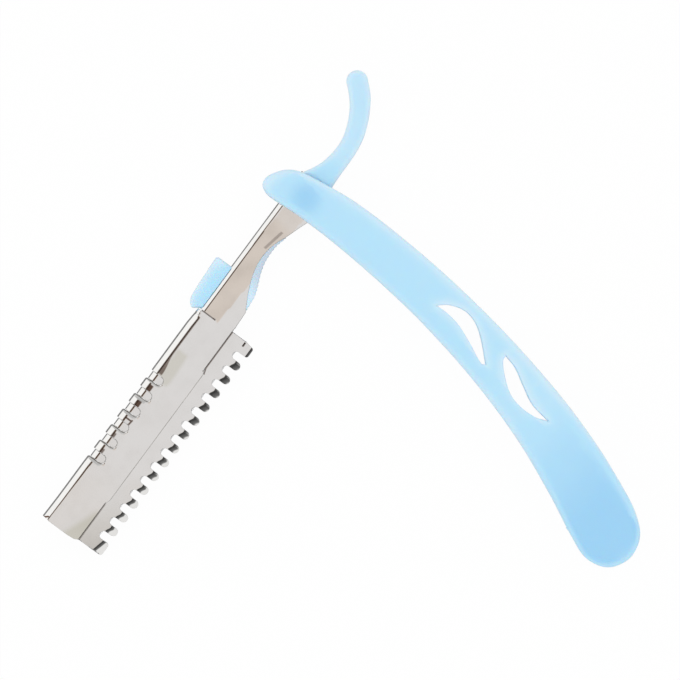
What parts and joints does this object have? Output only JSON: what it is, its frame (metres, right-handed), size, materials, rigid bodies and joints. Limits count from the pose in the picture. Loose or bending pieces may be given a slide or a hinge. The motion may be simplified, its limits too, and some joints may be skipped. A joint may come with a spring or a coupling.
{
  "type": "replaceable blade straight razor",
  "caption": "Folding straight razor: hinged blade holder with guard comb, lock slide with thumb pad, finger grip and tail rest on a curved two-scale handle with leaf-shaped windows.",
  "frame": {"origin": "on the pivot axis, at the outer face of the handle's rear scale, which the razor lies on", "axes": "+X from the pivot along the handle, +Z along the pivot axis towards the front scale; the head stands at -80.5 degrees from +X"},
  "size_m": [0.1411, 0.1403, 0.0098],
  "materials": {
    "polished_steel": "bright polished stainless sheet",
    "blade_steel": "fine ground",
    "light_blue_plastic": "satin, slightly translucent",
    "white_nylon": "satin"
  },
  "bodies": {
    "handle": {"handle_front_scale": "light_blue_plastic", "handle_rear_scale": "light_blue_plastic", "handle_end_spacer": "light_blue_plastic", "locating_pin_near": "white_nylon", "locating_pin_far": "white_nylon", "pivot_pin": "polished_steel", "pivot_washer_front": "white_nylon", "pivot_washer_rear": "white_nylon"},
    "head": {"blade_head": "polished_steel", "tang_bush": "white_nylon", "tail_rest": "light_blue_plastic", "finger_grip": "light_blue_plastic", "guard_comb": "polished_steel", "blade": "blade_steel", "blade_stud_heel": "polished_steel", "blade_stud_toe": "polished_steel", "hinge_pin": "polished_steel"},
    "leaf": {"rear_leaf": "polished_steel"},
    "slide": {"lock_slide": "polished_steel", "thumb_pad": "light_blue_plastic", "slide_rivet_upper": "polished_steel", "slide_rivet_lower": "polished_steel"}
  },
  "joints": [
    {"name": "handle_fold", "type": "hinge", "parent": "handle", "child": "head", "pos_m": [0, 0, 0.0049], "axis": [0, 0, 1], "range_deg": [-215, 77]},
    {"name": "leaf_open", "type": "hinge", "parent": "head", "child": "leaf", "pos_m": [0.00581, -0.05986, 0.0049], "axis": [-0.165, 0.9863, 0], "range_deg": [0, 100]},
    {"name": "lock_travel", "type": "slide", "parent": "head", "child": "slide", "axis": [0.165, -0.9863, 0], "range_m": [-0.005, 0]}
  ]
}
